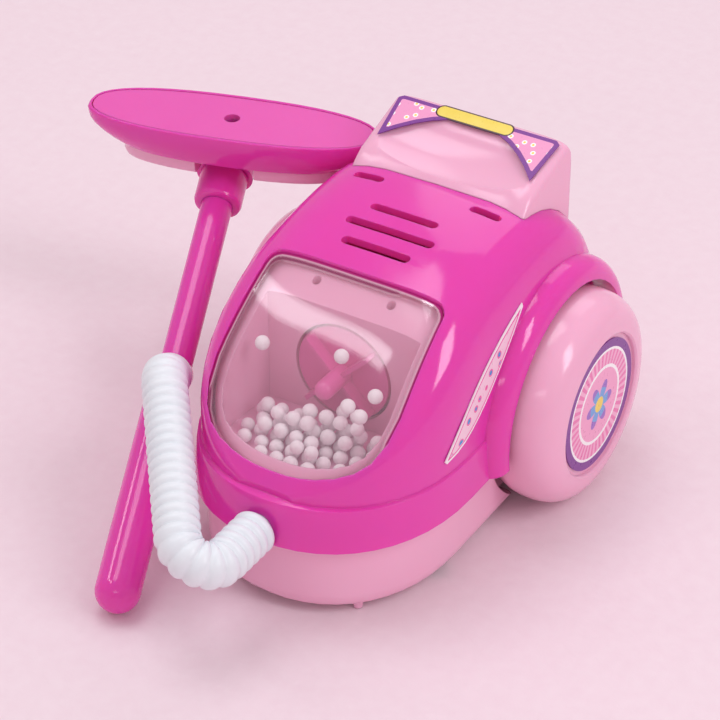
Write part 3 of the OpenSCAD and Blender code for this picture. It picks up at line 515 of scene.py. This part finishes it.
# Wheels: hollow pale pink ABS with a rounded tread, pressed on the axle. The label in each shallow recess has
# a purple rim, a thin white line, a ring of pink rays, a second white line and a six-petal flower.
label_r = 17.7
axle_h = 28.2
ray_count = 40
half_petals = 3
petal_root = 0.14
petal_swell = 0.24
wheel_film, tree, place = printed_film("wheel_label_film")
axes = add(tree, "ShaderNodeSeparateXYZ", None, {"Vector": place})
disc = add(tree, "ShaderNodeCombineXYZ", None, {"X": axes.outputs["Y"], "Y": axes.outputs["Z"]})
share = 1 / label_r
centred = add(tree, "ShaderNodeMapping", None, {
    "Vector": disc.outputs[0], "Scale": (share, share, share),
    "Location": (0, -axle_h * share, 0)}).outputs[0]
out = add(tree, "ShaderNodeVectorMath", {"operation": "LENGTH"}, {0: centred}).outputs["Value"]
around = add(tree, "ShaderNodeTexGradient", {"gradient_type": "RADIAL"}, {"Vector": centred}).outputs["Fac"]
spin = add(tree, "ShaderNodeMath", {"operation": "MULTIPLY"},
           {0: around, 1: 2 * math.pi * ray_count}).outputs[0]
wave = add(tree, "ShaderNodeMath", {"operation": "SINE"}, {0: spin}).outputs[0]
rays = add(tree, "ShaderNodeMath", {"operation": "GREATER_THAN"}, {0: wave, 1: 0.0}).outputs[0]
petals = add(tree, "ShaderNodeMath", {"operation": "MULTIPLY"},
             {0: around, 1: 2 * math.pi * half_petals}).outputs[0]
swell = add(tree, "ShaderNodeMath", {"operation": "COSINE"}, {0: petals}).outputs[0]
round_off = add(tree, "ShaderNodeMath", {"operation": "ABSOLUTE"}, {0: swell}).outputs[0]
petal_r = add(tree, "ShaderNodeMath", {"operation": "MULTIPLY_ADD"},
              {0: round_off, 1: petal_swell, 2: petal_root}).outputs[0]
flower = add(tree, "ShaderNodeMath", {"operation": "LESS_THAN"}, {0: out, 1: petal_r}).outputs[0]
deep = add(tree, "ShaderNodeValToRGB", {"stops": [
    (0, "#F6A9CF"), (0.56, "#FFFFFF"), (0.61, "#EE7DB8"), (0.83, "#FFFFFF"), (0.87, "#7E3396")]},
    {"Fac": out})
light = add(tree, "ShaderNodeValToRGB", {"stops": [
    (0, "#F6A9CF"), (0.56, "#FFFFFF"), (0.61, "#F8B7D6"), (0.83, "#FFFFFF"), (0.87, "#7E3396")]},
    {"Fac": out})
rayed = add(tree, "ShaderNodeMix", {"data_type": "RGBA"},
            {0: rays, 6: deep.outputs[0], 7: light.outputs[0]})
bloom = add(tree, "ShaderNodeValToRGB",
            {"stops": [(0, "#F7DC5C"), (0.12, "#6FA9E3"), (0.26, "#9B6CC9")]}, {"Fac": out})
art = add(tree, "ShaderNodeMix", {"data_type": "RGBA"},
          {0: flower, 6: rayed.outputs[2], 7: bloom.outputs[0]})
tree.links.new(art.outputs[2], tree.nodes["Principled BSDF"].inputs["Base Color"])
for side in ("left", "right"):
    moulding("wheel_" + side, "wheelset", pale_pink)
    moulding("wheel_label_" + side, "wheelset", wheel_film)

# Handle label: pink film with a purple border and small daisies, stuck on the block's sloping top.
border_mm = 1.15
daisies_per_mm = 0.3
handle_film, tree, place = printed_film("handle_label_film")
edge_mm = add(tree, "ShaderNodeAttribute", {"attribute_name": "from_edge"}).outputs["Fac"]
inside = add(tree, "ShaderNodeMath", {"operation": "GREATER_THAN"}, {0: edge_mm, 1: border_mm}).outputs[0]
grid = add(tree, "ShaderNodeTexVoronoi", {"voronoi_dimensions": "2D"},
           {"Vector": place, "Scale": daisies_per_mm, "Randomness": 0.75})
daisies = add(tree, "ShaderNodeValToRGB", {"stops": [(0, "#F7DC5C"), (0.1, "#FFFFFF"), (0.21, "#F3A0CC")]},
              {"Fac": grid.outputs["Distance"]})
art = add(tree, "ShaderNodeMix", {"data_type": "RGBA"},
          {0: inside, 6: linear("#7E3396"), 7: daisies.outputs[0]})
tree.links.new(art.outputs[2], tree.nodes["Principled BSDF"].inputs["Base Color"])
edge_distance(moulding("handle_label", "body", handle_film), 6)

# Badge on the handle label: a bare yellow pill of domed film with a dark line round it, in millimetres.
# The block's top rises at block_slope from its front edge, which is given as y and z.
badge_mid = (-0.7, 18.75)
block_edge = (6, 82)
block_slope = 0.331
rim_points = 48
for badge, half_l, half_h, low, high, tones in (
    ("badge_outline", 11.2, 2.05, 0.2, 0.36, ("#4A2338", "#3C1B2E")),
    ("badge_face", 10.7, 1.6, 0.34, 0.46, ("#F6E26A", "#F1D64E")),
):
    film, tree, place = printed_film(badge + "_film")
    cloud = add(tree, "ShaderNodeTexNoise", None, {"Vector": place, "Scale": 0.4, "Detail": 2.0})
    tone = add(tree, "ShaderNodeMix", {"data_type": "RGBA"},
               {0: cloud.outputs["Fac"], 6: linear(tones[0]), 7: linear(tones[1])})
    tree.links.new(tone.outputs[2], tree.nodes["Principled BSDF"].inputs["Base Color"])
    points = []
    rings = ((0, low), (0, high - 0.05), (0.12, high), (0.6, high + 0.06))
    for pull, lift in rings:
        for k in range(rim_points):
            a = 2 * math.pi * (k + 0.5) / rim_points
            end = half_l - half_h if math.cos(a) > 0 else half_h - half_l
            x = badge_mid[0] + end + (half_h - pull) * math.cos(a)
            y = badge_mid[1] + (half_h - pull) * math.sin(a)
            z = block_edge[1] + block_slope * (y - block_edge[0]) + lift
            points.append((x / 1000, y / 1000, z / 1000))
    faces = [tuple(range(len(points) - rim_points, len(points))), tuple(range(rim_points - 1, -1, -1))]
    for first in range(0, len(points) - rim_points, rim_points):
        for k in range(rim_points):
            here, after = first + k, first + (k + 1) % rim_points
            faces.append((here, after, after + rim_points, here + rim_points))
    pill = bpy.data.meshes.new(badge)
    pill.from_pydata(points, [], faces)
    pill.shade_smooth()
    pill.set_sharp_from_angle(angle=math.radians(50))
    pill.materials.append(film)
    piece = bpy.data.objects.new(badge, pill)
    scene.collection.objects.link(piece)
    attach(piece, "body")

# Side labels: pale pink flame-shaped film in the shell's side recesses. Each has a white edge, a pink line
# inside it and small dots.
piping_mm = 1.2
dots_per_mm = 0.27
side_film, tree, place = printed_film("side_label_film")
edge_mm = add(tree, "ShaderNodeAttribute", {"attribute_name": "from_edge"}).outputs["Fac"]
inside = add(tree, "ShaderNodeMath", {"operation": "GREATER_THAN"}, {0: edge_mm, 1: piping_mm}).outputs[0]
tenths = add(tree, "ShaderNodeMath", {"operation": "DIVIDE"}, {0: edge_mm, 1: 10.0}).outputs[0]
piping = add(tree, "ShaderNodeValToRGB",
             {"stops": [(0, "#FBF4F8"), (0.055, "#EC4FA8"), (0.1, "#F9D6E6")]}, {"Fac": tenths})
grid = add(tree, "ShaderNodeTexVoronoi", None, {"Vector": place, "Scale": dots_per_mm, "Randomness": 0.7})
dots = add(tree, "ShaderNodeValToRGB", {"stops": [(0, "#3F9BDB"), (0.2, "#F06FB0"), (0.3, "#F9D6E6")]},
           {"Fac": grid.outputs["Distance"]})
art = add(tree, "ShaderNodeMix", {"data_type": "RGBA"},
          {0: inside, 6: piping.outputs[0], 7: dots.outputs[0]})
tree.links.new(art.outputs[2], tree.nodes["Principled BSDF"].inputs["Base Color"])
for side in ("left", "right"):
    edge_distance(moulding("side_label_" + side, "body", side_film), 3)

# Wand: hot pink tube with a bulbous grip, a white port for the hose and a collar at the head.
for node in ("hose_spigot", "hose_port"):
    moulding(node, "body" if node == "hose_spigot" else "wand", hose_vinyl)
for node in ("wand_grip", "wand_tube", "wand_collar"):
    moulding(node, "wand", hot_pink)

# Floor head: a hot pink dish with a satin sole plate, two pale covers beneath and a swivel barrel.
moulding("head_shell", "floor_head", hot_pink)
satin_pink = moulded_abs("satin_pink_abs", "#EC5AB8", "#E752B1", 0.42, 0.3)
moulding("head_sole", "floor_head", satin_pink)
moulding("head_covers", "floor_head", pale_pink)
